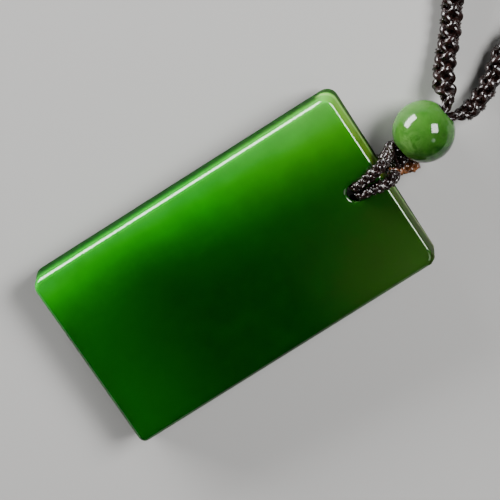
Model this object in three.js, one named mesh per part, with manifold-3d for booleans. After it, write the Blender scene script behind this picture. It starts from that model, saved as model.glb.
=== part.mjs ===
// A jade pendant laid on its back: a plain polished tablet on a thin cord that is looped through
// its hole, a round bead above it, and a plaited necklace rope, part of it wound in a coil.
// Millimetres, +Z up. The origin is on the ground under the middle of the tablet, +Y runs along
// the tablet towards the end with the hole, and +Z is the way the front face looks.
import * as THREE from "three";
import { mergeVertices } from "three/addons/utils/BufferGeometryUtils.js";
import Module from "manifold-3d";

// Tablet
const TABLET_LENGTH = 55.5;
const TABLET_WIDTH = 32;
const TABLET_THICKNESS = 6.4;
const EDGE_RADIUS = 0.75;
const LEFT_CORNER_RADIUS = 2;
const RIGHT_CORNER_RADIUS = 1.2;
const LEFT_END_LEAN = 0.9;
const RIGHT_END_LEAN = 0.3;
const HOLE_BORE = 3;
const HOLE_INSET = 4.6;
const HOLE_ASIDE = -0.45;
const MOUTH_RADIUS = 0.3;

// Bead
const BEAD_DIAMETER = 9.9;
const BEAD_BORE = 3.4;
const BEAD_STANDOFF = 3.77;
const BEAD_ASIDE = -2.06;
const BEAD_TURN = THREE.MathUtils.degToRad(7.8);

// Cords
const LOOP_DIAMETER = 1.3;
const ROPE_DIAMETER = 3.4;
const CORD_CLEARANCE = 0.5;
const CORD_SIDES = 8;
const LOOP_STEPS = 80;
const ROPE_STEPS = 16;

// Coil of the necklace: three turns side by side on the ground, and two in the grooves above
const COIL_CENTRE = new THREE.Vector2(-8.5, 85);
const COIL_MID_RADIUS = 18.3;
const COIL_GROUND_TURNS = 3;
const COIL_SEGMENTS = 40;

// How finely the round forms are cut
const ROUND_SEGMENTS = 28;
const BEAD_RINGS = 18;
const CORNER_SEGMENTS = 6;
const EDGE_SEGMENTS = 4;
const MOUTH_SEGMENTS = 3;

// Route of the thin cord: out of the bead, behind the tablet, up through the hole, over the
// front and the edge, once round its own two tails, and back the same way.
const LOOP_ROUTE = [
  [-2.6, 35.90, 4.95],
  [-1.95, 32.00, 5.00],
  [-1.3, 30.80, 4.55],
  [-1.1, 29.50, 2.90],
  [-1.1, 28.20, 1.40],
  [-1.1, 26.20, 0.90],
  [-1.15, 24.10, 0.90],
  [-1.17, 23.10, 1.90],
  [-1.17, 22.78, 3.80],
  [-1.17, 22.70, 6.60],
  [-1.25, 22.90, 8.30],
  [-1.46, 24.15, 9.15],
  [-1.74, 26.00, 9.25],
  [-2.08, 27.85, 9.20],
  [-2.48, 29.24, 8.30],
  [-2.7, 30.18, 6.50],
  [-2.65, 30.81, 4.50],
  [-1.94, 31.13, 2.60],
  [-0.9, 31.26, 1.20],
  [0.16, 31.53, 0.88],
  [1.44, 32.01, 1.00],
  [2.37, 32.34, 2.00],
  [2.13, 31.55, 3.00],
  [1.42, 30.15, 3.30],
  [1.06, 29.13, 4.60],
  [1.01, 28.77, 6.60],
  [0.86, 28.27, 8.30],
  [0.71, 27.18, 9.20],
  [0.37, 25.10, 9.25],
  [0.28, 23.54, 8.95],
  [0.27, 22.75, 7.60],
  [0.27, 22.78, 3.40],
  [0.27, 23.25, 1.65],
  [0.27, 24.40, 0.90],
  [0.25, 26.20, 0.90],
  [0.2, 28.05, 1.30],
  [0.18, 29.45, 3.00],
  [0.05, 30.60, 5.10],
  [-0.6, 32.10, 5.00],
  [-1.2, 36.10, 4.95],
];

// Routes of the two sides of the necklace, each from the bead to the coil.
const LEFT_ROUTE = [
  [-4.4, 42.50, 4.50],
  [-6, 42.90, 3.30],
  [-8.4, 44.60, 2.10],
  [-11.5, 47.40, 1.75],
  [-14.2, 49.60, 1.75],
  [-16.6, 51.35, 1.75],
  [-20.4, 54.50, 1.75],
  [-23.9, 58.10, 1.75],
  [-26.9, 62.30, 1.75],
  [-29, 67.00, 1.75],
  [-29.9, 71.20, 1.75],
];
const RIGHT_ROUTE = [
  [-0.95, 42.95, 4.10],
  [-0.55, 44.70, 3.00],
  [-0.96, 46.50, 2.20],
  [-1.7, 48.30, 1.85],
  [-2.61, 49.97, 1.75],
  [-4.44, 52.40, 1.75],
  [-5.46, 54.14, 1.80],
  [-6.07, 56.08, 2.15],
  [-6.23, 58.11, 2.95],
  [-6.04, 59.67, 3.75],
  [-5.58, 61.17, 4.50],
];

const JADE = new THREE.MeshStandardMaterial({ color: 0x1f7a1c, roughness: 0.12, metalness: 0 });
const BEAD_JADE = new THREE.MeshStandardMaterial({ color: 0x4f9a3c, roughness: 0.12, metalness: 0 });
const CORD_THREAD = new THREE.MeshStandardMaterial({ color: 0x2b1714, roughness: 0.55, metalness: 0 });
const ROPE_THREAD = new THREE.MeshStandardMaterial({ color: 0x35201b, roughness: 0.5, metalness: 0 });

const wasm = await Module();
wasm.setup();

// A closed geometry as a solid that can be cut.
function solidOf(geometry) {
  const bare = geometry.clone();
  bare.deleteAttribute("normal");
  bare.deleteAttribute("uv");
  const merged = mergeVertices(bare, 1e-4);
  const vertProperties = new Float32Array(merged.attributes.position.array);
  const triVerts = new Uint32Array(merged.index.array);
  return new wasm.Manifold(new wasm.Mesh({ numProp: 3, vertProperties, triVerts }));
}

// A solid back as a geometry.
function geometryOf(solid) {
  const cut = solid.getMesh();
  const geometry = new THREE.BufferGeometry();
  geometry.setAttribute("position", new THREE.BufferAttribute(cut.vertProperties, 3));
  geometry.setIndex(new THREE.BufferAttribute(cut.triVerts, 1));
  geometry.computeVertexNormals();
  return geometry;
}

// A rectangle with round corners, about its middle. The two left corners are worn rounder.
function roundedRectangle(halfWidth, halfLength, leftRadius, rightRadius) {
  const shape = new THREE.Shape();
  const quarter = Math.PI / 2;
  const right = halfWidth - rightRadius;
  const left = leftRadius - halfWidth;
  shape.absarc(right, halfLength - rightRadius, rightRadius, 0, quarter);
  shape.absarc(left, halfLength - leftRadius, leftRadius, quarter, 2 * quarter);
  shape.absarc(left, leftRadius - halfLength, leftRadius, 2 * quarter, 3 * quarter);
  shape.absarc(right, rightRadius - halfLength, rightRadius, 3 * quarter, 4 * quarter);
  return shape;
}

// The slab about its own middle, with every edge rounded over.
function slab() {
  const outline = roundedRectangle(
    TABLET_WIDTH / 2 - EDGE_RADIUS,
    TABLET_LENGTH / 2 - EDGE_RADIUS,
    LEFT_CORNER_RADIUS - EDGE_RADIUS,
    RIGHT_CORNER_RADIUS - EDGE_RADIUS,
  );
  const depth = TABLET_THICKNESS - 2 * EDGE_RADIUS;
  const geometry = new THREE.ExtrudeGeometry(outline, {
    depth,
    bevelThickness: EDGE_RADIUS,
    bevelSize: EDGE_RADIUS,
    bevelSegments: EDGE_SEGMENTS,
    curveSegments: CORNER_SEGMENTS,
  });
  return geometry.translate(0, 0, -depth / 2);
}

// The hole end is cut a little out of square: it leans outwards going back from the front face,
// more at the left corner than at the right one.
function leanHoleEnd(geometry) {
  const place = geometry.attributes.position;
  for (let i = 0; i < place.count; i += 1) {
    const leftward = 0.5 - place.getX(i) / TABLET_WIDTH;
    const backward = 0.5 - place.getZ(i) / TABLET_THICKNESS;
    if (place.getY(i) > 0) {
      const lean = THREE.MathUtils.lerp(RIGHT_END_LEAN, LEFT_END_LEAN, leftward);
      place.setY(i, place.getY(i) + lean * backward);
    }
  }
  return geometry;
}

// What the drill takes out of a slab of this thickness: a round bore whose mouths are rounded.
function drilledHole(bore, thickness, mouthRadius) {
  const radius = bore / 2;
  const half = thickness / 2;
  const beyond = half + 1;
  const profile = [new THREE.Vector2(0, -beyond), new THREE.Vector2(radius + mouthRadius, -beyond)];
  for (const end of [-1, 1]) {
    for (let i = 0; i <= MOUTH_SEGMENTS; i += 1) {
      const step = end < 0 ? i : MOUTH_SEGMENTS - i;
      const angle = (Math.PI / 2) * (step / MOUTH_SEGMENTS);
      const out = radius + mouthRadius * (1 - Math.sin(angle));
      profile.push(new THREE.Vector2(out, end * (half - mouthRadius * (1 - Math.cos(angle)))));
    }
  }
  profile.push(new THREE.Vector2(radius + mouthRadius, beyond), new THREE.Vector2(0, beyond));
  return new THREE.LatheGeometry(profile, ROUND_SEGMENTS).rotateX(Math.PI / 2);
}

// The tablet, tipped up by the two strands of cord that pass under its hole end, and moved so
// that it touches the ground with its box centred over the origin.
function tabletLying() {
  const holePlace = TABLET_LENGTH / 2 - HOLE_INSET;
  const hole = drilledHole(HOLE_BORE, TABLET_THICKNESS, MOUTH_RADIUS).translate(HOLE_ASIDE, holePlace, 0);
  const cut = solidOf(leanHoleEnd(slab())).subtract(solidOf(hole));
  const tablet = new THREE.Mesh(geometryOf(cut), JADE);
  tablet.name = "tablet";
  const lying = new THREE.Group();
  const lever = TABLET_LENGTH - HOLE_INSET - EDGE_RADIUS;
  lying.rotation.x = Math.asin((LOOP_DIAMETER + CORD_CLEARANCE) / lever);
  lying.add(tablet);
  const box = new THREE.Box3().setFromObject(lying, true);
  const middle = box.getCenter(new THREE.Vector3());
  lying.position.set(-middle.x, -middle.y, -box.min.z);
  return lying;
}

// The bead, a ball with a bore along its +Y and mouths eased like the tablet's.
function beadGeometry() {
  const radius = BEAD_DIAMETER / 2;
  const bore = BEAD_BORE / 2;
  const rim = Math.acos((bore + MOUTH_RADIUS) / radius);
  const profile = [];
  for (let i = 0; i <= BEAD_RINGS; i += 1) {
    const angle = rim * ((2 * i) / BEAD_RINGS - 1);
    profile.push(new THREE.Vector2(radius * Math.cos(angle), radius * Math.sin(angle)));
  }
  const throat = radius * Math.sin(rim) - MOUTH_RADIUS;
  profile.push(new THREE.Vector2(bore, throat), new THREE.Vector2(bore, -throat), profile[0].clone());
  return new THREE.LatheGeometry(profile, ROUND_SEGMENTS);
}

function beadLying() {
  const bead = new THREE.Mesh(beadGeometry(), BEAD_JADE);
  bead.name = "bead";
  const radius = BEAD_DIAMETER / 2;
  bead.rotation.z = BEAD_TURN;
  bead.position.set(BEAD_ASIDE, TABLET_LENGTH / 2 + BEAD_STANDOFF + radius, radius);
  return bead;
}

// A plain tube of cord through the points of a route.
function cordTube(name, route, diameter, steps, material) {
  const corners = [];
  for (let i = 0; i < CORD_SIDES; i += 1) {
    const angle = (2 * Math.PI * i) / CORD_SIDES;
    corners.push(new THREE.Vector2(Math.cos(angle), Math.sin(angle)).multiplyScalar(diameter / 2));
  }
  const extrudePath = new THREE.CatmullRomCurve3(route.map((point) => new THREE.Vector3(...point)));
  const geometry = new THREE.ExtrudeGeometry(new THREE.Shape(corners), { steps, extrudePath });
  const mesh = new THREE.Mesh(geometry, material);
  mesh.name = name;
  return mesh;
}

// The outer shape of the coil: the ground turns side by side, one fewer turn nested above them.
function coilRing() {
  const spread = (COIL_GROUND_TURNS * ROPE_DIAMETER) / 2;
  const topSpread = spread - ROPE_DIAMETER / 2;
  const height = ROPE_DIAMETER * (1 + Math.sin(Math.PI / 3));
  const ease = ROPE_DIAMETER / 4;
  const inner = COIL_MID_RADIUS - spread;
  const outer = COIL_MID_RADIUS + spread;
  const profile = [
    new THREE.Vector2(inner + ease, 0),
    new THREE.Vector2(outer - ease, 0),
    new THREE.Vector2(outer, ease),
    new THREE.Vector2(outer, ROPE_DIAMETER - ease),
    new THREE.Vector2(COIL_MID_RADIUS + topSpread, height - ease),
    new THREE.Vector2(COIL_MID_RADIUS + topSpread - ease, height),
    new THREE.Vector2(COIL_MID_RADIUS - topSpread + ease, height),
    new THREE.Vector2(COIL_MID_RADIUS - topSpread, height - ease),
    new THREE.Vector2(inner, ROPE_DIAMETER - ease),
    new THREE.Vector2(inner, ease),
    new THREE.Vector2(inner + ease, 0),
  ];
  const ring = new THREE.Mesh(new THREE.LatheGeometry(profile, COIL_SEGMENTS), ROPE_THREAD);
  ring.name = "necklace_coil";
  ring.rotation.x = Math.PI / 2;
  ring.position.set(COIL_CENTRE.x, COIL_CENTRE.y, 0);
  return ring;
}

const pendant = new THREE.Group();
pendant.add(
  tabletLying(),
  beadLying(),
  cordTube("hanging_loop", LOOP_ROUTE, LOOP_DIAMETER, LOOP_STEPS, CORD_THREAD),
  cordTube("necklace_left", LEFT_ROUTE, ROPE_DIAMETER, ROPE_STEPS, ROPE_THREAD),
  cordTube("necklace_right", RIGHT_ROUTE, ROPE_DIAMETER, ROPE_STEPS, ROPE_THREAD),
  coilRing(),
);

export default pendant;
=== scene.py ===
# %% [markdown]
# # A jade pendant, dressed for its portrait
#
# The real thing is small and simple: a blank slab of green jade with softly rounded edges, one
# drilled hole, a thin dark cord looped through it, one round jade bead, and a plaited necklace.
# Simple shapes hide nothing, so the looks depend on three things: an edge that catches one long
# highlight, stone that light sinks into, and cords that are truly made of threads.
#
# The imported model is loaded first. It says where every piece lies, so nothing here is placed by eye.

# %% Load the frame
import math

import bpy
import numpy as np
from mathutils import Matrix, Vector


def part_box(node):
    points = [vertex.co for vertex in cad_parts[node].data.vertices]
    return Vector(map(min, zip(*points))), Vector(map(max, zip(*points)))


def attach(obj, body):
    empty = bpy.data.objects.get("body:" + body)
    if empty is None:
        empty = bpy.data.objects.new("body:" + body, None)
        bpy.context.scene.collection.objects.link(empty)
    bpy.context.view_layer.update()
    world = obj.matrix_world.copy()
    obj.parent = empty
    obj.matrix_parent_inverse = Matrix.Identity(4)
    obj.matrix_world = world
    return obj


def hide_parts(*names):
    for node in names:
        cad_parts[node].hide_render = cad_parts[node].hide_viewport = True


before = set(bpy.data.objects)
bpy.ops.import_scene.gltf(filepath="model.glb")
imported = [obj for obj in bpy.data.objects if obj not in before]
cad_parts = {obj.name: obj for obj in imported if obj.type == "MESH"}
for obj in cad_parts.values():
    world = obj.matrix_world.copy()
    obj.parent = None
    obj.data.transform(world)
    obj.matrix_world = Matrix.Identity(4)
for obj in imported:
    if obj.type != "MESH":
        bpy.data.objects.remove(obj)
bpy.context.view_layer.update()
MM = 0.001

# %% [markdown]
# ## The camera
#
# A long lens from half a metre makes edges that are parallel on the stone look nearly parallel in
# the picture. The camera leans a little to the side of the slab and a little to its hole end, and
# is rolled, so that the slab runs up the picture from left to right. Its axes are worked out one by
# one: back towards the camera first, then the picture's right and up.

# %% Camera
VIEW_SIDEWAYS = math.radians(14.26)
VIEW_ALONG = math.radians(6.48)
VIEW_ROLL = math.radians(32.67)
VIEW_DISTANCE = 0.530
VIEW_TARGET = Vector((-0.85, 3.27, 4.0)) * MM
LENS = 242.0

back = Vector((-math.tan(VIEW_SIDEWAYS), math.tan(VIEW_ALONG), 1)).normalized()
along = Vector((0, 1, 0))
along = (along - along.dot(back) * back).normalized()
across = along.cross(back)
picture_right = math.cos(VIEW_ROLL) * along + math.sin(VIEW_ROLL) * across
picture_up = math.sin(VIEW_ROLL) * along - math.cos(VIEW_ROLL) * across

camera_data = bpy.data.cameras.new("camera")
camera_data.lens = LENS
camera_data.clip_start = 0.01
camera_data.clip_end = 20
camera = bpy.data.objects.new("camera", camera_data)
turn = Matrix((picture_right, picture_up, back)).transposed()
camera.matrix_world = Matrix.Translation(VIEW_TARGET + VIEW_DISTANCE * back) @ turn.to_4x4()
bpy.context.scene.collection.objects.link(camera)
bpy.context.scene.camera = camera
print("camera at", [round(value, 4) for value in camera.matrix_world.translation])

# %% [markdown]
# ## Helpers for surfaces
#
# Every new piece is a grid: rings of points, each ring with as many points as the next. A grid
# that closes both ways is a ring-shaped skin, which is just what a drilled stone is: over the
# front, round the edge, across the back, and up the hole again. A grid that closes one way is a
# tube. One helper joins the points with four-cornered faces, and turns them all if they point in.


# %% Grids to meshes
def grid_faces(rings, around, closed):
    """Faces of a grid: point (i, j) with its neighbours (i, j+1), (i+1, j+1) and (i+1, j)."""
    i, j = np.meshgrid(np.arange(rings if closed else rings - 1), np.arange(around), indexing="ij")
    after_i, after_j = (i + 1) % rings, (j + 1) % around
    corners = [i * around + j, i * around + after_j, after_i * around + after_j, after_i * around + j]
    return np.stack(corners, axis=-1).reshape(-1, 4)


def enclosed(points, faces):
    """Volume inside: a sixth of the sum of each triangle's first corner dotted with the cross
    product of the other two. It is negative where the faces point in."""
    a, b, c, d = (points[faces[:, k]] for k in range(4))
    return (np.einsum("ij,ij->", a, np.cross(b, c)) + np.einsum("ij,ij->", a, np.cross(c, d))) / 6


def new_piece(name, points, faces, corner_uv=None, caps=()):
    """Puts points and faces into a new smooth mesh. caps are rings of point numbers, closed flat."""
    if enclosed(points, faces) < 0:
        faces = faces[:, ::-1]
        corner_uv = None if corner_uv is None else corner_uv[:, ::-1]
        caps = [cap[::-1] for cap in caps]
    mesh = bpy.data.meshes.new(name)
    mesh.from_pydata(points.tolist(), [], faces.tolist() + [cap.tolist() for cap in caps])
    mesh.polygons.foreach_set("use_smooth", np.ones(len(mesh.polygons), bool))
    if corner_uv is not None:
        layer = mesh.uv_layers.new(name="thread")
        flat = np.zeros((len(mesh.loops), 2))
        flat[:corner_uv.shape[0] * 4] = corner_uv.reshape(-1, 2)
        layer.data.foreach_set("uv", flat.ravel())
    mesh.update()
    piece = bpy.data.objects.new(name, mesh)
    bpy.context.scene.collection.objects.link(piece)
    print(name, "has", 2 * len(faces), "triangles")
    return piece


# %% [markdown]
# ## Cords: the routes first
#
# A cord is soft, so its shape is a route: points listed where it leaves the stone, turns
# and lies down, and one smooth curve through them. The curve is a Catmull-Rom spline whose knots
# are spaced by the square root of the distance, which keeps it from swinging out at tight turns.
# The part of the necklace that would run on out of the picture lies in a neat round coil.


# %% Smooth routes
SAMPLES_A_POINT = 24


def smooth_route(points):
    """Centripetal Catmull-Rom curve. Between two points it blends three straight lines pairwise
    twice over, by knots that lie the square root of the distance apart."""
    points = np.asarray(points, float)
    points = np.vstack([2 * points[0] - points[1], points, 2 * points[-1] - points[-2]])
    p0, p1, p2, p3 = (points[k:len(points) - 3 + k, None, :] for k in range(4))
    gap = np.sqrt(np.linalg.norm(np.diff(points, axis=0), axis=1))
    knot = np.concatenate([[0], np.cumsum(gap)])
    t0, t1, t2, t3 = (knot[k:len(points) - 3 + k, None, None] for k in range(4))
    t = t1 + (t2 - t1) * np.linspace(0, 1, SAMPLES_A_POINT, endpoint=False)[None, :, None]
    a1 = ((t1 - t) * p0 + (t - t0) * p1) / (t1 - t0)
    a2 = ((t2 - t) * p1 + (t - t1) * p2) / (t2 - t1)
    a3 = ((t3 - t) * p2 + (t - t2) * p3) / (t3 - t2)
    b1 = ((t2 - t) * a1 + (t - t0) * a2) / (t2 - t0)
    b2 = ((t3 - t) * a2 + (t - t1) * a3) / (t3 - t1)
    curve = ((t2 - t) * b1 + (t - t1) * b2) / (t2 - t1)
    return np.vstack([curve.reshape(-1, 3), points[-2]])


def lengths_along(line):
    """Distance from the start to each point of a line."""
    return np.concatenate([[0], np.cumsum(np.linalg.norm(np.diff(line, axis=0), axis=1))])


def at_lengths(line, wanted):
    """Points of a line at the wanted distances from its start."""
    along_line = lengths_along(line)
    return np.stack([np.interp(wanted, along_line, line[:, k]) for k in range(3)], axis=1)


# %% Where the tablet's hole is, in metres
TABLET_LENGTH = 55.5 * MM
HOLE_INSET = 4.6 * MM
HOLE_ASIDE = -0.45 * MM
hole_place = np.array((HOLE_ASIDE, TABLET_LENGTH / 2 - HOLE_INSET))
print("hole at", hole_place)

# %% The hanging loop's route, both ends in the bead, in metres
LOOP_DIAMETER = 1.3 * MM
LOOP_ROUTE = np.array([
    (-2.60, 35.90, 4.95), (-1.95, 32.00, 5.00), (-1.30, 30.80, 4.55), (-1.10, 29.50, 2.90),
    (-1.10, 28.20, 1.40), (-1.10, 26.20, 0.90), (-1.15, 24.10, 0.90), (-1.17, 23.10, 1.90),
    (-1.17, 22.78, 3.80), (-1.17, 22.70, 6.60), (-1.25, 22.90, 8.30), (-1.46, 24.15, 9.15),
    (-1.74, 26.00, 9.25), (-2.08, 27.85, 9.20), (-2.48, 29.24, 8.30), (-2.70, 30.18, 6.50),
    (-2.65, 30.81, 4.50), (-1.94, 31.13, 2.60), (-0.90, 31.26, 1.20), (0.16, 31.53, 0.88),
    (1.44, 32.01, 1.00), (2.37, 32.34, 2.00), (2.13, 31.55, 3.00), (1.42, 30.15, 3.30),
    (1.06, 29.13, 4.60), (1.01, 28.77, 6.60), (0.86, 28.27, 8.30), (0.71, 27.18, 9.20),
    (0.37, 25.10, 9.25), (0.28, 23.54, 8.95), (0.27, 22.75, 7.60), (0.27, 22.78, 3.40),
    (0.27, 23.25, 1.65), (0.27, 24.40, 0.90), (0.25, 26.20, 0.90), (0.20, 28.05, 1.30),
    (0.18, 29.45, 3.00), (0.05, 30.60, 5.10), (-0.60, 32.10, 5.00), (-1.20, 36.10, 4.95),
]) * MM
loop_line = smooth_route(LOOP_ROUTE)
print("hanging loop", round(lengths_along(loop_line)[-1] / MM, 1), "mm long")

# %% The necklace's route, out of the bead, round the coil, and back into the bead, in metres
LEFT_ROUTE = np.array([
    (-2.95, 40.40, 4.95), (-3.45, 41.50, 4.90), (-4.40, 42.50, 4.50), (-6.00, 42.90, 3.30),
    (-8.40, 44.60, 2.10), (-11.50, 47.40, 1.75), (-14.20, 49.60, 1.75), (-16.60, 51.35, 1.75),
    (-20.40, 54.50, 1.75), (-23.90, 58.10, 1.75), (-26.90, 62.30, 1.75), (-29.00, 67.00, 1.75),
    (-29.90, 71.20, 1.75), (-30.20, 78.00, 1.72),
]) * MM
RIGHT_ROUTE = np.array([
    (-1.95, 40.60, 4.90), (-1.40, 41.80, 4.60), (-0.95, 42.95, 4.10), (-0.55, 44.70, 3.00),
    (-0.96, 46.50, 2.20), (-1.70, 48.30, 1.85), (-2.61, 49.97, 1.75), (-4.44, 52.40, 1.75),
    (-5.46, 54.14, 1.80), (-6.07, 56.08, 2.15), (-6.23, 58.11, 2.95), (-6.04, 59.67, 3.75),
    (-5.58, 61.17, 4.50), (-4.52, 63.09, 5.10), (-3.03, 64.69, 5.00),
]) * MM
COIL_CENTRE = (-8.5, 85.0)
COIL_START_DEGREES = 180
COIL_TURNS = 4.675
POINTS_A_TURN = 24
# Turns passed, distance from the coil's middle, and height: three turns on the ground from the
# outside in, then two that nest in the grooves above them from the inside out.
COIL_STEPS = np.array([
    (0.00, 21.7, 1.70), (0.85, 21.7, 1.70), (1.00, 18.3, 1.70), (1.85, 18.3, 1.70),
    (2.00, 14.9, 1.70), (2.65, 14.9, 1.70), (2.75, 15.1, 3.60), (2.85, 16.6, 4.80),
    (2.93, 16.6, 5.10), (3.00, 16.6, 4.64), (3.72, 16.6, 4.64), (3.82, 18.3, 5.10),
    (3.92, 20.0, 5.10), (4.00, 20.0, 4.64), (4.70, 20.0, 4.64),
])
turns = np.linspace(0, COIL_TURNS, round(COIL_TURNS * POINTS_A_TURN) + 1)
angle = np.radians(COIL_START_DEGREES - 360 * turns)
reach = np.interp(turns, COIL_STEPS[:, 0], COIL_STEPS[:, 1])
height = np.interp(turns, COIL_STEPS[:, 0], COIL_STEPS[:, 2])
coil = np.stack([COIL_CENTRE[0] + reach * np.cos(angle),
                 COIL_CENTRE[1] + reach * np.sin(angle), height], axis=1)
rope_line = smooth_route(np.vstack([LEFT_ROUTE, coil * MM, RIGHT_ROUTE[::-1]]))
print("necklace", round(lengths_along(rope_line)[-1] / MM, 1), "mm long")

# %% [markdown]
# ## Cords: the plait
#
# Each cord is a plait of six strands, three winding one way and three the other. A strand runs
# round the cord's middle line, swings out where it passes over a strand that winds the other way,
# and in where it passes under, which gives the eye-shaped lobes of a real plait. A strand is
# itself a few threads twisted together, three in the thin cord and six in the necklace, so its
# section is a flower of that many petals that turns as it goes. The other way, a smooth tube with
# a painted weave, would lose the outline and the small broken glints that make a cord look silky.


# %% Frames along a line
def frames_along(line):
    """Side and upright at each station of a line. The side is the last one, made square to the new
    direction, so that the frame never spins about the line."""
    direction = np.gradient(line, axis=0)
    direction /= np.linalg.norm(direction, axis=1)[:, None]
    side = np.empty_like(line)
    last = np.cross(direction[0], (0, 0, 1))
    for station, heading in enumerate(direction):
        last = last - heading * (last @ heading)
        last /= np.linalg.norm(last)
        side[station] = last
    return side, np.cross(direction, side)


# %% One strand
# The strands' mean distance from the middle, how far they swing in and out, and their half
# thickness, all as shares of the cord's width. A valley between two threads goes a third deep.
STRAND_PLACE = 0.240
STRAND_SWING = 0.085
STRAND_HALF = 0.165
VALLEY_DEPTH = 0.34
GROUND_GAP = 0.02 * MM


def strand_path(core, side, upright, turn, slim, width, pairs, number):
    """A strand's line, and which way is out. The line is the core plus
    (place + hand * swing * cos(pairs * turn)) in the direction hand * turn plus the pair's share of
    a full turn. One strand of each pair winds by hand +1 and one by hand -1, so that each goes over
    and under in turn."""
    hand = 1 if number % 2 else -1
    where = hand * turn + 2 * math.pi * (number // 2) / pairs + math.pi / (2 * pairs)
    out = np.cos(where)[:, None] * side + np.sin(where)[:, None] * upright
    reach = width * (STRAND_PLACE + hand * STRAND_SWING * np.cos(pairs * turn))
    return core + slim * reach[:, None] * out, out


def strand_skin(centre, out, half_thickness, twist, threads, section):
    """Rings round a strand, square to it. The radius is 1 - depth * (1 - cos(threads * angle)) / 2:
    a peak on each thread and a valley between each two. The rings turn by the twist."""
    heading = np.gradient(centre, axis=0)
    heading /= np.linalg.norm(heading, axis=1)[:, None]
    out = out - heading * np.einsum("ij,ij->i", out, heading)[:, None]
    out /= np.linalg.norm(out, axis=1)[:, None]
    beside = np.cross(heading, out)
    angle = 2 * math.pi * np.arange(section)[None, :] / section
    radius = half_thickness * (1 - VALLEY_DEPTH * (0.5 - 0.5 * np.cos(threads * angle)))
    across_out = (radius * np.cos(angle + twist))[:, :, None] * out[:, None, :]
    across_beside = (radius * np.sin(angle + twist))[:, :, None] * beside[:, None, :]
    return centre[:, None, :] + across_out + across_beside


def pressed(rings, core, side, upright, flat):
    """Rings spread sideways by flat and thinned upright by 1 / flat, and kept above the ground."""
    off = rings - core[:, None, :]
    sideways = np.einsum("ijk,ik->ij", off, side)[:, :, None] * side[:, None, :]
    upwards = np.einsum("ijk,ik->ij", off, upright)[:, :, None] * upright[:, None, :]
    rings = rings + (flat - 1) * sideways + (1 / flat - 1) * upwards
    rings[..., 2] = np.maximum(rings[..., 2], GROUND_GAP)
    return rings


def strand_map(stations, section, number):
    """Each face's place on the thread map: u counts round the strand from the strand's number, and
    v is the length along it in metres."""
    station, place = np.meshgrid(np.arange(len(stations) - 1), np.arange(section), indexing="ij")
    u = number + np.stack([place, place + 1, place + 1, place], -1) / section
    start, stop = stations[station], stations[station + 1]
    return np.stack([u, np.stack([start, start, stop, stop], -1)], -1).reshape(-1, 4, 2)


# %% A whole plait
def plait(name, line, stations, width, pitch, pairs, threads, thread_pitch, girth, flat, section=12):
    """Pairs of strands round a line, in one mesh. girth shrinks the cord at each station where it
    is squeezed, and flat spreads it sideways where it lies flatter."""
    core = at_lengths(line, stations)
    side, upright = frames_along(core)
    slim = girth[:, None]
    turn = 2 * math.pi * stations / pitch
    twist = 2 * math.pi * stations[:, None] / thread_pitch
    points, faces, places, caps = [], [], [], []
    for number in range(2 * pairs):
        centre, out = strand_path(core, side, upright, turn, slim, width, pairs, number)
        rings = strand_skin(centre, out, STRAND_HALF * width * slim, twist, threads, section)
        points.append(pressed(rings, core, side, upright, flat[:, None, None]).reshape(-1, 3))
        first = number * len(stations) * section
        faces.append(grid_faces(len(stations), section, False) + first)
        places.append(strand_map(stations, section, number))
        first_ring = np.arange(section) + first
        caps += [first_ring[::-1], first_ring + (len(stations) - 1) * section]
    return new_piece(name, np.vstack(points), np.vstack(faces), np.vstack(places), caps)


# %% How the cords are squeezed
def squeezed(distance, near, far, least):
    """Girth that is least within near of a tight place and 1 beyond far, with a soft change."""
    share = np.clip((distance - near) / (far - near), 0, 1)
    return least + (1 - least) * (0.5 - 0.5 * np.cos(math.pi * share))


# %% Plait the hanging loop
LOOP_WIDTH = 2.30 * MM
LOOP_PITCH = 3.3 * MM
LOOP_THREAD_PITCH = 2.4 * MM
LOOP_STEP = 0.12 * MM
loop_length = lengths_along(loop_line)[-1]
loop_stations = np.linspace(0, loop_length, round(loop_length / LOOP_STEP) + 1)
from_hole = np.linalg.norm(at_lengths(loop_line, loop_stations)[:, :2] - hole_place, axis=1)
from_loop_end = np.minimum(loop_stations, loop_length - loop_stations)
in_hole = squeezed(from_hole, near=1.2 * MM, far=3.0 * MM, least=0.76)
in_bead = squeezed(from_loop_end, near=0, far=3 * MM, least=0.6)
hanging_loop = plait("loop_cord_plait", loop_line, loop_stations, LOOP_WIDTH, LOOP_PITCH, pairs=3,
                     threads=3, thread_pitch=LOOP_THREAD_PITCH, girth=in_hole * in_bead,
                     flat=np.ones_like(loop_stations))

# %% Plait the necklace, finely near the bead and more coarsely in the coil
ROPE_WIDTH = 3.75 * MM
ROPE_PITCH = 7.4 * MM
ROPE_THREAD_PITCH = 3.6 * MM
FINE_STEP = 0.16 * MM
COARSE_STEP = 0.66 * MM
NEAR_BEAD = 26 * MM
rope_length = lengths_along(rope_line)[-1]
fine = np.arange(0, NEAR_BEAD, FINE_STEP)
coarse_count = round((rope_length - 2 * NEAR_BEAD) / COARSE_STEP)
coarse = np.linspace(NEAR_BEAD, rope_length - NEAR_BEAD, coarse_count)
rope_stations = np.concatenate([fine, coarse, rope_length - fine[::-1]])
from_rope_end = np.minimum(rope_stations, rope_length - rope_stations)
rope_girth = squeezed(from_rope_end, near=1 * MM, far=4.5 * MM, least=0.45)
# The left side lies a little flatter than it is high, and the right side stands a little on edge.
FLAT_PLACES = (0, 60 * MM, rope_length - 60 * MM, rope_length)
FLATNESS = (1.08, 1.08, 1.0, 0.96)
necklace = plait("necklace_plait", rope_line, rope_stations, ROPE_WIDTH, ROPE_PITCH, pairs=3,
                 threads=6, thread_pitch=ROPE_THREAD_PITCH, girth=rope_girth,
                 flat=np.interp(rope_stations, FLAT_PLACES, FLATNESS))

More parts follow.
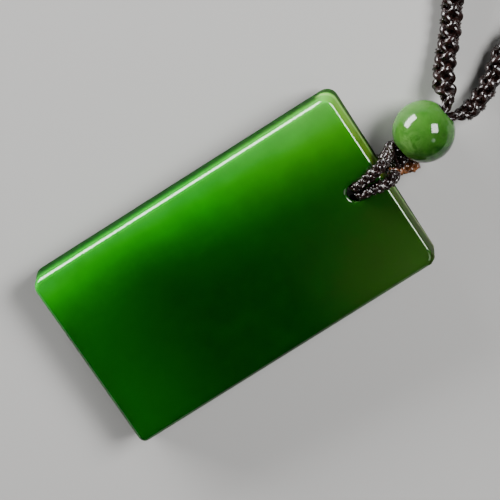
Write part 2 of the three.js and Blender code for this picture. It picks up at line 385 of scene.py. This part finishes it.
# %% [markdown]
# ## The tablet
#
# The slab is sawn, its edges are ground to a small round, and the faces are polished. A polished
# face is never quite flat: the felt wheel takes a little more off near the edges, so each face
# swells by about a tenth of a millimetre. The hole end leans a little, as a hand-ground end does,
# and the left corners are rounder than the right ones. At the right corner of the hole end the
# front edge alone is worn round, which parts the highlight in two there.
#
# The rounded edge isn't a true quarter circle. Lapping leaves a narrow strip on it that is almost
# flat, and that strip mirrors a whole lamp as one thin bright line of even width. A true round
# would give a soft blurred line instead. A bevelled box would need a cut for the hole, and the cut
# spoils the smooth shading. One closed grid does it all: each ring lies between the hole's circle
# and the outline.

# %% Tablet sizes, in metres
TABLET_WIDTH = 32.0 * MM
TABLET_THICKNESS = 6.4 * MM
EDGE_RADIUS = 0.75 * MM
END_EDGE_RADIUS = 0.50 * MM
LEFT_CORNER_RADIUS = 2.0 * MM
RIGHT_CORNER_RADIUS = 1.2 * MM
WORN_FRONT_RADIUS = 2.4 * MM
WORN_BACK_RADIUS = 1.0 * MM
WORN_EDGE_GROWTH = 0.2 * MM
LEFT_END_LEAN = 0.9 * MM
RIGHT_END_LEAN = 0.3 * MM
HOLE_BORE = 3.0 * MM
MOUTH_RADIUS = 0.3 * MM
FACE_SWELL = 0.10 * MM
CORD_CLEARANCE = 0.5 * MM
half_thick = TABLET_THICKNESS / 2


# %% Outline
def slab_outline(worn_radius, long_points=120, short_points=72, corner_points=14):
    """Rounded rectangle and its outward directions: each corner is a quarter circle, rounder on the
    left, with a radius of its own at the worn corner, which comes first. Each side joins the end of
    one quarter to the start of the next."""
    corners, facings = [], []
    for quarter, (x_side, y_side) in enumerate(((1, 1), (-1, 1), (-1, -1), (1, -1))):
        radius = RIGHT_CORNER_RADIUS if x_side > 0 else LEFT_CORNER_RADIUS
        radius = worn_radius if quarter == 0 else radius
        middle = np.array((x_side * (TABLET_WIDTH / 2 - radius), y_side * (TABLET_LENGTH / 2 - radius)))
        bend = math.pi / 2 * (quarter + np.linspace(0, 1, corner_points))
        facings.append(np.stack([np.cos(bend), np.sin(bend)], axis=1))
        corners.append(middle + radius * facings[-1])
    places, outward = [], []
    for quarter in range(4):
        run = short_points if quarter % 2 == 0 else long_points
        steps = np.linspace(0, 1, run + 2)[1:-1, None]
        start, stop = corners[quarter][-1], corners[(quarter + 1) % 4][0]
        places += [corners[quarter], start + steps * (stop - start)]
        outward += [facings[quarter], np.repeat(facings[quarter][-1:], run, axis=0)]
    return np.vstack(places), np.vstack(outward)


# %% Rounded edge
# How steep the lap's strip is on the long sides, at the hole end and at the worn corner, and by
# how much it turns either way there and at the other corners.
LAP_SIDE = math.radians(46)
LAP_END = math.radians(27)
LAP_WORN = math.radians(14)
LAP_SPREAD = math.radians(2.5)
LAP_CORNER_SPREAD = math.radians(17)
LAP_WORN_SPREAD = math.radians(6)
# The strip takes the middle third of the edge's round, and the rings are picked from fine steps.
LAP_SHARES = (0, 0.34, 0.66, 1)
ROUND_STEPS = 100
EDGE_RINGS = [8, 17, 26, 34, 45, 56, 66, 75, 84, 92, 100]
RINGS_TO_SIDE = 6


def polished_round(lap_angle, spread):
    """How far out and how far down each ring of a rounded edge lies, as shares of its width. The
    surface turns from level to upright, and nearly rests at the lap angle, where polishing has left
    a narrow flatter strip that turns by twice the spread. The places are the running sums of the
    angle's cosine and sine."""
    steps = np.linspace(0, 1, ROUND_STEPS + 1)
    angle = np.stack([np.interp(steps, LAP_SHARES, (0, lap - half, lap + half, math.pi / 2))
                      for lap, half in zip(lap_angle, spread)], axis=1)
    middle = (angle[1:] + angle[:-1]) / 2
    out = np.vstack([0 * lap_angle, np.cumsum(np.cos(middle), axis=0)])
    down = np.vstack([0 * lap_angle, np.cumsum(np.sin(middle), axis=0)])
    return (out / out[-1])[EDGE_RINGS], (down / out[-1])[EDGE_RINGS]


def edge_profile(facing):
    """Width of the rounded edge at each outline point, and its rings' shares out and down. to_end
    is 1 on the hole end and 0 on the long sides, at_corner is 1 in the middle of each corner, and
    worn is at_corner at the worn corner alone."""
    to_end = np.clip(facing[:, 1], 0, 1)
    at_corner = np.abs(2 * facing[:, 0] * facing[:, 1])
    worn = at_corner * (facing.min(axis=1) > 0)
    narrowed = (EDGE_RADIUS - END_EDGE_RADIUS) * to_end * (1 - worn)
    width = EDGE_RADIUS - narrowed + WORN_EDGE_GROWTH * worn
    lap = LAP_SIDE + (LAP_END - LAP_SIDE) * to_end
    lap = lap + (LAP_WORN - lap) * worn
    spread = LAP_SPREAD + (LAP_CORNER_SPREAD - LAP_SPREAD) * at_corner
    spread = spread + (LAP_WORN_SPREAD - spread) * worn
    return width, *polished_round(lap, spread)


# %% Tablet rings
def slab_rings(facing, face_rings=20, side_rings=5, mouth_rings=7, bore_rings=9):
    """Share, inset, hole radius and height of each ring at each outline point. share runs from 0 at
    the hole to 1 at the outline, inset is how far a ring lies inside the outline, and heights are
    from mid-thickness. The order is over the front, round the edge, across the back, and up the
    bore. Last come the rows where the satin side starts, past the lap's strip, and stops."""
    def rows(share, inset, hole, height):
        return np.stack([value + 0 * share for value in (share, inset, hole, height)])

    level = 0 * facing[:, 0]
    wide = HOLE_BORE / 2 + MOUTH_RADIUS
    width, out, down = edge_profile(facing)
    over = np.linspace(0, 1, face_rings)[:, None] + level
    front = rows(over, width, wide, half_thick)
    edge = rows(out * 0 + 1, width * (1 - out), wide, half_thick - width * down)
    drop = np.linspace(1, -1, side_rings + 2)[1:-1, None] * (half_thick - EDGE_RADIUS) + level
    side = rows(drop * 0 + 1, 0, wide, drop)
    bend = np.linspace(0, math.pi / 2, mouth_rings + 1)[1:, None] + level
    mouth = rows(bend * 0, width, wide - MOUTH_RADIUS * np.sin(bend),
                 MOUTH_RADIUS * (1 - np.cos(bend)) - half_thick)
    climb = np.linspace(-1, 1, bore_rings + 2)[1:-1, None] * (half_thick - MOUTH_RADIUS) + level
    bore = rows(climb * 0, width, HOLE_BORE / 2, climb)
    mirror = np.array((1, 1, 1, -1))[:, None, None]
    rings = np.concatenate([front, edge, side, (edge * mirror)[:, ::-1], (front * mirror)[:, ::-1],
                            mouth, bore, (mouth * mirror)[:, ::-1][:, :-1]], axis=1)
    return rings, face_rings + RINGS_TO_SIDE, face_rings + 2 * len(out) + side_rings


# %% Tablet
def laid_down(x, y, z):
    """Turns points about the X axis, as the cord behind the hole end tips the tablet up. The turn's
    sine is the cord's thickness and clearance over the lever from the hole to the far edge."""
    tilt = math.asin((LOOP_DIAMETER + CORD_CLEARANCE) / (TABLET_LENGTH - HOLE_INSET - EDGE_RADIUS))
    return np.stack([x, y * math.cos(tilt) - z * math.sin(tilt),
                     y * math.sin(tilt) + z * math.cos(tilt)], axis=-1).reshape(-1, 3)


def set_on(points, node):
    """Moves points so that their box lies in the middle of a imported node's, and as low."""
    low, high = (np.array(corner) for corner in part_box(node))
    shift = (low + high) / 2 - (points.min(0) + points.max(0)) / 2
    shift[2] = low[2] - points[:, 2].min()
    return points + shift


def make_tablet():
    """Each point is (1 - share) of the hole's circle and share of the outline pulled in by the
    inset. The outline goes from the worn front to the unworn back over the depth of the rounded
    edge. The face swells as (1 - x squared) * (1 - y squared), and the hole end leans."""
    front_outline, facing = slab_outline(WORN_FRONT_RADIUS)
    back_outline, facing = slab_outline(WORN_BACK_RADIUS)
    (share, inset, hole_radius, height_in), side_start, side_stop = slab_rings(facing)
    unworn = np.clip((half_thick - height_in) / EDGE_RADIUS, 0, 1)
    flat_x, flat_y = (front_outline[:, axis] + unworn * (back_outline - front_outline)[:, axis]
                      - inset * facing[:, axis] for axis in range(2))
    toward = np.arctan2(*(front_outline - hole_place).T[::-1])
    leftward = 0.5 - flat_x / TABLET_WIDTH
    lean = RIGHT_END_LEAN + (LEFT_END_LEAN - RIGHT_END_LEAN) * leftward
    lean *= np.clip(flat_y / (TABLET_LENGTH / 2), 0, 1) * (0.5 - height_in / TABLET_THICKNESS)
    x = (1 - share) * (hole_place[0] + hole_radius * np.cos(toward)) + share * flat_x
    y = (1 - share) * (hole_place[1] + hole_radius * np.sin(toward)) + share * (flat_y + lean)
    swell = np.clip(1 - (2 * x / TABLET_WIDTH) ** 2, 0, 1)
    swell *= np.clip(1 - (2 * y / TABLET_LENGTH) ** 2, 0, 1)
    on_face = np.isclose(np.abs(height_in), half_thick, rtol=0, atol=1e-9)
    z = height_in + np.where(on_face, np.sign(height_in) * FACE_SWELL * swell, 0)
    points = set_on(laid_down(x, y, z), "tablet")
    rings, around = x.shape
    slab = new_piece("jade_tablet", points, grid_faces(rings, around, True))
    row = np.arange(rings * around) // around
    on_side = (row >= side_start) & (row < side_stop)
    slab.data.polygons.foreach_set("material_index", on_side.astype(int))
    return slab


tablet = make_tablet()

# %% [markdown]
# ## The bead
#
# A bead is turned between two cups, so it is a true ball, then drilled from both ends, with the
# rims of the hole eased so that they don't cut the cord. It is the same kind of grid as the
# tablet: round the ball from mouth to mouth, and back through the bore.

# %% Bead
BEAD_DIAMETER = 9.9 * MM
BEAD_BORE = 3.4 * MM
BEAD_TURN = math.radians(7.8)


def make_bead(ball_rings=72, ease_rings=6, bore_rings=8, around=96):
    """Rings of a radius and a place along the bore: radius R sin(a) at -R cos(a) over the ball, a
    quarter of an ellipse at each mouth, and a straight run through the bore."""
    radius, bore = BEAD_DIAMETER / 2, BEAD_BORE / 2
    rim = bore + MOUTH_RADIUS
    start = math.asin(rim / radius)
    ball = np.linspace(start, math.pi - start, ball_rings)
    ease = np.linspace(0, math.pi / 2, ease_rings)[1:]
    rim_at = radius * math.cos(start)
    ease_radius = rim - MOUTH_RADIUS * np.sin(ease)
    ease_place = rim_at - MOUTH_RADIUS * (1 - np.cos(ease))
    run = np.linspace(1, -1, bore_rings + 2)[1:-1] * (rim_at - MOUTH_RADIUS)
    distance = np.concatenate([radius * np.sin(ball), ease_radius, run * 0 + bore, ease_radius[::-1]])
    place = np.concatenate([-radius * np.cos(ball), ease_place, run, -ease_place[::-1]])
    spin = 2 * math.pi * np.arange(around) / around
    x = distance[:, None] * np.cos(spin)
    z = distance[:, None] * np.sin(spin)
    y = np.repeat(place[:, None], around, axis=1)
    points = np.stack([x * math.cos(BEAD_TURN) - y * math.sin(BEAD_TURN),
                       x * math.sin(BEAD_TURN) + y * math.cos(BEAD_TURN), z], -1).reshape(-1, 3)
    low, high = (np.array(corner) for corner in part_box("bead"))
    points += (low + high) / 2
    return new_piece("jade_bead", points, grid_faces(len(place), around, True)), (low + high) / 2


bead, bead_centre = make_bead()
print("bead centre", bead_centre.round(5))

# %% [markdown]
# ## Helpers for finishes
#
# A finish is a small graph of nodes. These helpers keep it readable: one adds a node and joins it,
# one starts a finish, and one feeds one input of the shader.


# %% Node helpers
def add(tree, kind, sockets=(), **settings):
    """Adds a node. settings are its own options. sockets are its inputs, by name or by number,
    each a plain value or the output that feeds it."""
    node = tree.nodes.new(kind)
    for option, value in settings.items():
        setattr(node, option, value)
    for socket, value in dict(sockets).items():
        if isinstance(value, bpy.types.NodeSocket):
            tree.links.new(value, node.inputs[socket])
        else:
            node.inputs[socket].default_value = value
    return node


def maths(tree, operation, *values):
    """One Math node on up to three values."""
    return add(tree, "ShaderNodeMath", dict(enumerate(values)), operation=operation).outputs[0]


def ranged(tree, value, from_min, from_max, to_min, to_max):
    """Moves a value from one range to another, evenly, and keeps it inside."""
    sockets = {0: value, 1: from_min, 2: from_max, 3: to_min, 4: to_max}
    return add(tree, "ShaderNodeMapRange", sockets).outputs[0]


def ramp(tree, value, stops):
    """A colour ramp from (place, colour) stops."""
    node = add(tree, "ShaderNodeValToRGB", {0: value})
    band = node.color_ramp
    band.interpolation = "B_SPLINE"
    while len(band.elements) < len(stops):
        band.elements.new(0.5)
    for element, (place, colour) in zip(band.elements, stops):
        element.position = place
        element.color = (*colour, 1)
    return node.outputs[0]


def blended(tree, share, first, second):
    """Mixes two colours."""
    node = add(tree, "ShaderNodeMix", {0: share}, data_type="RGBA")
    for socket, value in ((6, first), (7, second)):
        if isinstance(value, bpy.types.NodeSocket):
            tree.links.new(value, node.inputs[socket])
        else:
            node.inputs[socket].default_value = (*value, 1)
    return node.outputs[2]


def noise(tree, place, scale, detail=2.0, roughness=0.5, distortion=0.0):
    """Cloudy noise from 0 to 1 at a number of clouds a metre."""
    return add(tree, "ShaderNodeTexNoise", {"Vector": place, "Scale": scale, "Detail": detail,
                                            "Roughness": roughness, "Distortion": distortion}).outputs[0]


def new_finish(name):
    """A material with one Principled shader. Gives the material, its tree and the shader."""
    material = bpy.data.materials.new(name)
    material.use_nodes = True
    tree = material.node_tree
    return material, tree, tree.nodes["Principled BSDF"]


def join(tree, output, shader, socket):
    """Feeds one input of the shader."""
    tree.links.new(output, shader.inputs[socket])


# %% [markdown]
# ## Jade
#
# Jade is a felt of tiny fibres. Light goes in, wanders a few millimetres and comes out again,
# greener the farther it went, so the stone glows beside a lit edge and stays deep in the middle.
# Subsurface scattering does the wandering. The colour does the rest, partly the stone's own clouds
# and partly painted light: pale along one long edge, where a glow beside the edge that the low lamp
# lights is painted in, pure green beside that, almost black-green in the heart, and a little olive
# towards the hole end's far corner. The clouds are noise on Object coordinates, so they run
# through the solid and meet at the edges as real ones do.
#
# Only the faces and the lap's strip are polished. The upright sides are left satin, so they hardly
# mirror the lamps. They are painted darker with depth, a painted shade, and the wall of the hole end
# carries a painted highlight, a thin pale line where its lower edge catches the light, with a
# painted shadow band below it.

# %% Tablet jade's colours, as (place, colour) stops
# From the pale long edge to the heart: partly the stone's own zoning, partly a painted glow beside the
# edge that the low lamp lights.
COOL_JADE = [
    (0.00, (0.014, 0.310, 0.017)), (0.08, (0.014, 0.310, 0.017)),
    (0.19, (0.0008, 0.240, 0.0024)), (0.33, (0.0001, 0.140, 0.0012)),
    (0.47, (0.0001, 0.086, 0.0009)), (0.66, (0.0002, 0.038, 0.0008)),
    (1.00, (0.0004, 0.018, 0.0006)),
]
WARM_JADE = [
    (0.00, (0.078, 0.360, 0.046)), (0.08, (0.078, 0.360, 0.046)),
    (0.19, (0.046, 0.300, 0.013)), (0.33, (0.017, 0.165, 0.0012)),
    (0.47, (0.004, 0.085, 0.0008)), (0.66, (0.0012, 0.038, 0.0008)),
    (1.00, (0.0008, 0.020, 0.0006)),
]
# The hole end's colours from left to right: partly the stone's own, partly painted light, lighter by the
# left corner and darker towards the right.
END_JADE = [
    (0.00, (0.070, 0.290, 0.045)), (0.10, (0.105, 0.270, 0.010)),
    (0.28, (0.045, 0.108, 0.005)), (0.70, (0.007, 0.022, 0.002)),
    (1.00, (0.018, 0.032, 0.007)),
]
# A painted highlight: the thin pale line where the hole end's lower edge catches the light.
PAINTED_HIGHLIGHT_JADE = [
    (0.00, (0.180, 0.430, 0.080)), (0.30, (0.100, 0.180, 0.040)),
    (0.70, (0.090, 0.115, 0.055)), (1.00, (0.110, 0.135, 0.070)),
]
OLIVE_JADE = (0.0210, 0.064, 0.0078)
FOOT_JADE = (0.0001, 0.074, 0.0012)
# Painted shade: the dark green that the sides fall to with depth.
PAINTED_SHADE_JADE = (0.0005, 0.012, 0.0005)
JADE_IOR = 1.62


# %% Colour across the face
# A depth below the face counts for more than the same distance across it, so the upright sides
# darken fast with depth: a painted shade.
DEPTH_WEIGHT = 1.6


def face_stone(tree, x, along_y, y, below_face, drift):
    """Colour by distance from the pale long edge, across the face and down from it, over a breadth
    that grows towards both ends: partly the stone's own zoning and partly a painted glow beside the
    edge that the low lamp lights, with painted shade down the sides. The foot is greener, and the far
    corner olive."""
    sunk = maths(tree, "MULTIPLY", maths(tree, "MAXIMUM", below_face, 0.0), DEPTH_WEIGHT)
    across = maths(tree, "ADD", maths(tree, "ADD", x, TABLET_WIDTH / 2), drift)
    breadth = maths(tree, "MAXIMUM",
                    ranged(tree, y, -10 * MM, TABLET_LENGTH / 2, 15 * MM, 24 * MM),
                    ranged(tree, y, -TABLET_LENGTH / 2, -12 * MM, 22 * MM, 15 * MM))
    depth_in = maths(tree, "DIVIDE", maths(tree, "ADD", across, sunk), breadth)
    warmth = ranged(tree, along_y, 1 * MM, 25 * MM, 0.0, 1.0)
    colour = blended(tree, warmth, ramp(tree, depth_in, COOL_JADE), ramp(tree, depth_in, WARM_JADE))
    foot = maths(tree, "MULTIPLY", ranged(tree, along_y, -25 * MM, -10 * MM, 0.8, 0.0),
                 ranged(tree, x, -12 * MM, -4 * MM, 0.0, 1.0))
    colour = blended(tree, foot, colour, FOOT_JADE)
    corner = maths(tree, "MULTIPLY", ranged(tree, along_y, 4 * MM, 24 * MM, 0.0, 1.0),
                   ranged(tree, x, -4 * MM, 14 * MM, 0.0, 0.9))
    return blended(tree, corner, colour, OLIVE_JADE)


# %% Colour on the upright sides
def side_stone(tree, x, y, below_face, drift, colour):
    """Painted shade: the sides go dim with depth. The hole end's colours run from left to right, partly
    the stone's own and partly painted light, lighter by the left corner. A painted highlight line, where
    the lower edge catches the light, starts higher at the left, and a painted shadow band lies below it."""
    # Painted shade: the sides darken with depth below the face.
    colour = blended(tree, ranged(tree, below_face, 0.25 * MM, 3.4 * MM, 0.30, 0.95), colour, PAINTED_SHADE_JADE)
    across_end = ranged(tree, maths(tree, "ADD", x, drift), -TABLET_WIDTH / 2, TABLET_WIDTH / 2, 0.0, 1.0)
    # Painted highlight: a thin pale line along the hole end, higher at the left.
    painted_line_depth = maths(tree, "ADD", ranged(tree, across_end, 0.0, 0.7, 3.1 * MM, 4.2 * MM),
                       ranged(tree, across_end, 0.75, 1.0, 0.0, 1.4 * MM))
    past_painted_line = maths(tree, "SUBTRACT", below_face, painted_line_depth)
    painted_line = ranged(tree, maths(tree, "ABSOLUTE", past_painted_line), 0.2 * MM, 0.8 * MM, 1.0, 0.0)
    end_colour = blended(tree, painted_line, ramp(tree, across_end, END_JADE), ramp(tree, across_end, PAINTED_HIGHLIGHT_JADE))
    # Painted shadow: a dark band below that line, down to the lower edge.
    end_colour = blended(tree, ranged(tree, past_painted_line, 0.5 * MM, 1.1 * MM, 0.0, 0.9), end_colour, PAINTED_SHADE_JADE)
    return blended(tree, ranged(tree, y, 25 * MM, 26.5 * MM, 0.0, 1.0), colour, end_colour)


# %% Tablet jade
# The front face's height at the origin, and how steeply it rises towards the hole end.
FACE_HEIGHT = 7.2 * MM
FACE_SLOPE = 0.036


def tablet_finish(name, on_side):
    """Jade whose clouds shift the bounds of its colours, and whose wisps show faintly. The upright
    sides are satin, let less light in, and carry painted shade and a painted highlight line."""
    material, tree, shader = new_finish(name)
    place = add(tree, "ShaderNodeTexCoord").outputs["Object"]
    x, y, z = add(tree, "ShaderNodeSeparateXYZ", {0: place}).outputs
    clouds = noise(tree, place, 55, 3, 0.55, 0.4)
    wisps = noise(tree, place, 240, 4, 0.6)
    drift = maths(tree, "MULTIPLY", maths(tree, "SUBTRACT", clouds, 0.5), 4.0 * MM)
    below_face = maths(tree, "SUBTRACT", maths(tree, "MULTIPLY_ADD", y, FACE_SLOPE, FACE_HEIGHT), z)
    colour = face_stone(tree, x, maths(tree, "ADD", y, drift), y, below_face, drift)
    colour = blended(tree, ranged(tree, wisps, 0.35, 0.75, 0.0, 0.16), colour, FOOT_JADE)
    if on_side:
        colour = side_stone(tree, x, y, below_face, drift, colour)
        shader.inputs["Specular IOR Level"].default_value = 0.012
    roughness = (0.40, 0.50) if on_side else (0.045, 0.085)
    join(tree, colour, shader, "Base Color")
    join(tree, ranged(tree, wisps, 0.3, 0.7, *roughness), shader, "Roughness")
    polish = add(tree, "ShaderNodeBump", {"Strength": 0.05, "Distance": 0.05 * MM, "Height": wisps})
    join(tree, polish.outputs[0], shader, "Normal")
    shader.inputs["IOR"].default_value = JADE_IOR
    shader.inputs["Subsurface Weight"].default_value = 1.0
    shader.inputs["Subsurface Radius"].default_value = (0.35, 1.0, 0.28)
    shader.inputs["Subsurface Scale"].default_value = (0.7 if on_side else 1.8) * MM
    shader.inputs["Specular Tint"].default_value = (0.84, 1.0, 0.80, 1)
    return material


# %% Bead jade
BEAD_WISP = (0.110, 0.240, 0.048)
BEAD_PALE = (0.050, 0.158, 0.019)
BEAD_GREEN = (0.027, 0.120, 0.011)
BEAD_DEEP = (0.0016, 0.036, 0.0018)
PATCH_MIDDLE = (-0.74 * MM, -3.43 * MM, 3.49 * MM)


def bead_finish():
    """Mottled stone: large patches of pale and deep green, softened by finer wisps. The slope 52 x + 26 y
    is a painted shade that makes the side away from the long low lamp deeper. Pale strands gather
    about one patch."""
    material, tree, shader = new_finish("bead_jade")
    place = add(tree, "ShaderNodeTexCoord").outputs["Object"]
    centred = add(tree, "ShaderNodeMapping", {"Vector": place, "Location": tuple(-bead_centre)}).outputs[0]
    patches = noise(tree, centred, 210, 3, 0.55, 0.6)
    wisps = noise(tree, centred, 700, 4, 0.6)
    x, y, z = add(tree, "ShaderNodeSeparateXYZ", {0: centred}).outputs
    # Painted shade: the bead darkens towards the side away from the long low lamp.
    painted_shade_slope = maths(tree, "MULTIPLY_ADD", y, 26.0, maths(tree, "MULTIPLY", x, 52.0))
    tone = maths(tree, "ADD", maths(tree, "SUBTRACT", patches, painted_shade_slope), maths(tree, "MULTIPLY", wisps, 0.22))
    colour = ramp(tree, tone, [(0.34, BEAD_DEEP), (0.58, BEAD_GREEN), (0.88, BEAD_PALE)])
    from_patch = add(tree, "ShaderNodeVectorMath", {0: centred, 1: PATCH_MIDDLE},
                     operation="DISTANCE").outputs["Value"]
    strands = ranged(tree, noise(tree, centred, 420, 4, 0.65, 1.2), 0.46, 0.62, 0.0, 1.0)
    wispy = maths(tree, "MULTIPLY", strands, ranged(tree, from_patch, 0.6 * MM, 3.4 * MM, 0.75, 0.12))
    colour = blended(tree, wispy, colour, BEAD_WISP)
    join(tree, colour, shader, "Base Color")
    join(tree, ranged(tree, wisps, 0.3, 0.7, 0.05, 0.10), shader, "Roughness")
    shader.inputs["IOR"].default_value = JADE_IOR
    shader.inputs["Specular IOR Level"].default_value = 0.38
    shader.inputs["Subsurface Weight"].default_value = 1.0
    shader.inputs["Subsurface Radius"].default_value = (0.40, 1.0, 0.30)
    shader.inputs["Subsurface Scale"].default_value = 0.9 * MM
    return material


# %% Jade on the tablet and the bead
tablet.data.materials.append(tablet_finish("tablet_jade", False))
tablet.data.materials.append(tablet_finish("tablet_side_jade", True))
bead.data.materials.append(bead_finish())
print("jade finishes on", tablet.name, "and", bead.name)

# %% [markdown]
# ## Thread
#
# The cords are plaited from smooth synthetic thread, dark reddish brown and silky, so most of it
# is nearly black and every bend that faces a lamp throws a short white glint. The mesh has its own
# map: u counts round a strand and v is the length along it in metres. Slanted fine ridges on that
# map are the filaments, and they follow the thread wherever it goes.

# %% Thread finish
PAINTED_LIGHT_DEEP = (0.050, 0.014, 0.004)
PAINTED_LIGHT_BRIGHT = (0.230, 0.078, 0.021)
PAINTED_LIGHT_FADE = 0.4 * MM


def thread_finish(name, dark, warm, ridges, ridge_length, gloss, painted_light_run=None):
    """Filaments: ridges where the sine of (u * ridges + v / ridge_length) * 2 pi is high. gloss is
    the weight of the waxy coat. The last argument is a stretch of the cord, in metres from its start,
    painted orange-brown as painted light, where the dark cord catches the lamp."""
    material, tree, shader = new_finish(name)
    thread_map = add(tree, "ShaderNodeTexCoord").outputs["UV"]
    u, v, unused = add(tree, "ShaderNodeSeparateXYZ", {0: thread_map}).outputs
    slant = maths(tree, "MULTIPLY_ADD", u, float(ridges), maths(tree, "DIVIDE", v, ridge_length))
    filament = maths(tree, "SINE", maths(tree, "MULTIPLY", slant, 2 * math.pi))
    place = add(tree, "ShaderNodeTexCoord").outputs["Object"]
    uneven = noise(tree, place, 900, 3, 0.6)
    fuzz = noise(tree, place, 4200, 2, 0.5)
    colour = blended(tree, ranged(tree, uneven, 0.35, 0.70, 0.0, 1.0), dark, warm)
    # Painted light: a stretch of the dark cord made orange-brown where it catches the lamp.
    if painted_light_run:
        begun = ranged(tree, v, painted_light_run[0] - PAINTED_LIGHT_FADE, painted_light_run[0] + PAINTED_LIGHT_FADE, 0.0, 1.0)
        over = ranged(tree, v, painted_light_run[1] - PAINTED_LIGHT_FADE, painted_light_run[1] + PAINTED_LIGHT_FADE, 1.0, 0.0)
        tan = blended(tree, ranged(tree, uneven, 0.35, 0.65, 0.0, 1.0), PAINTED_LIGHT_DEEP, PAINTED_LIGHT_BRIGHT)
        colour = blended(tree, maths(tree, "MULTIPLY", begun, over), colour, tan)
    join(tree, colour, shader, "Base Color")
    join(tree, ranged(tree, uneven, 0.3, 0.7, 0.16, 0.28), shader, "Roughness")
    height_map = maths(tree, "MULTIPLY_ADD", fuzz, 0.8, filament)
    ridge = add(tree, "ShaderNodeBump", {"Strength": 0.35, "Distance": 0.02 * MM, "Height": height_map})
    join(tree, ridge.outputs[0], shader, "Normal")
    shader.inputs["IOR"].default_value = 1.56
    shader.inputs["Coat Weight"].default_value = gloss
    shader.inputs["Coat Roughness"].default_value = 0.10
    return material


# %% Thread on both cords
# The stretch painted orange-brown as painted light, where the loop catches the lamp, counted in
# points of the loop's route from the first.
PAINTED_LIGHT_POINTS = np.array((20.4, 24.5))
loop_measure = lengths_along(loop_line)
painted_light_run = np.interp(PAINTED_LIGHT_POINTS * SAMPLES_A_POINT, np.arange(len(loop_measure)), loop_measure).tolist()
necklace.data.materials.append(thread_finish(
    "necklace_thread", (0.0035, 0.0014, 0.0012), (0.018, 0.0062, 0.0048),
    ridges=15, ridge_length=1.3 * MM, gloss=0.45))
hanging_loop.data.materials.append(thread_finish(
    "loop_thread", (0.0035, 0.0015, 0.0014), (0.018, 0.0070, 0.0058),
    ridges=9, ridge_length=0.9 * MM, gloss=0.25, painted_light_run=painted_light_run))
print("thread finishes on", necklace.name, "and", hanging_loop.name)

# %% [markdown]
# ## Put each piece on the body
#
# The whole pendant moves as one, so every piece rides on the one body. Each piece takes the place
# of the plain solids that stood for it, which are hidden.

# %% Bodies and hidden nodes
for piece, slot_name, nodes in (
    (tablet, "tablet_jade", ["tablet"]),
    (bead, "bead_jade", ["bead"]),
    (hanging_loop, "loop_cord", ["hanging_loop"]),
    (necklace, "necklace_rope", ["necklace_left", "necklace_right", "necklace_coil"]),
):
    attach(piece, "root")
    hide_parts(*nodes)

# %% [markdown]
# ## Floor and lamps
#
# The floor is a plain pale sheet. Two soft boxes do the work: a long low one beside the slab, whose
# mirror image is the long bright line on the rounded edge, and one above the hole end, whose image
# is the line along that end and the upright bright patch on the bead. A third, small and faint,
# gives the bead its last small spot. Nothing bright stands where the flat face would mirror it, so
# the face stays deep. A lamp's brightness and its size are chosen apart: its size sets the width
# of the highlight, and its distance stays the same.

# %% Floor
FLOOR_HALF = 3.0
floor_mesh = bpy.data.meshes.new("floor")
floor_mesh.from_pydata([(-FLOOR_HALF, -FLOOR_HALF, 0), (FLOOR_HALF, -FLOOR_HALF, 0),
                        (FLOOR_HALF, FLOOR_HALF, 0), (-FLOOR_HALF, FLOOR_HALF, 0)], [], [(0, 1, 2, 3)])
floor = bpy.data.objects.new("floor", floor_mesh)
bpy.context.scene.collection.objects.link(floor)
floor_material, floor_tree, floor_shader = new_finish("pale_floor")
floor_shader.inputs["Base Color"].default_value = (0.42, 0.415, 0.405, 1)
floor_shader.inputs["Roughness"].default_value = 0.7
floor_mesh.materials.append(floor_material)

# %% Lamps
LAMP_DISTANCE = 0.60


def soft_box(name, direction, width, height, brightness, upright):
    """A rectangle that faces the pendant from a direction. Its power is brightness * pi * area."""
    facing = Vector(direction).normalized()
    upward = (Vector(upright) - Vector(upright).dot(facing) * facing).normalized()
    data = bpy.data.lights.new(name, "AREA")
    data.shape = "RECTANGLE"
    data.size, data.size_y = width, height
    data.energy = brightness * math.pi * width * height
    lamp = bpy.data.objects.new(name, data)
    axes = Matrix((upward.cross(facing), upward, facing)).transposed()
    lamp.matrix_world = Matrix.Translation(LAMP_DISTANCE * facing + bead_middle) @ axes.to_4x4()
    lamp.visible_camera = False
    bpy.context.scene.collection.objects.link(lamp)
    print(name, "at", [round(value, 3) for value in lamp.matrix_world.translation])


bead_middle = Vector(bead_centre)
soft_box("long_side_box", (-0.952, -0.300, 0.195), 0.49, 0.235, 34, (0, 0, 1))
soft_box("hole_end_box", (0.0204, 0.6755, 0.7373), 0.250, 0.324, 25, picture_up)
soft_box("small_fill_box", (0.547, 0.220, 0.808), 0.13, 0.14, 2.4, picture_up)

# %% Sky: pale near the horizon, dark overhead, where the face would mirror it
world = bpy.data.worlds.new("studio")
bpy.context.scene.world = world
world.use_nodes = True
sky_tree = world.node_tree
sky_place = add(sky_tree, "ShaderNodeTexCoord").outputs["Generated"]
sky_height = add(sky_tree, "ShaderNodeSeparateXYZ", {0: sky_place}).outputs[2]
sky_colour = ramp(sky_tree, sky_height, [(0.0, (0.10, 0.10, 0.10)), (0.25, (0.05, 0.05, 0.05)),
                                         (0.60, (0.008, 0.008, 0.008))])
sky_tree.links.new(sky_colour, sky_tree.nodes["Background"].inputs["Color"])
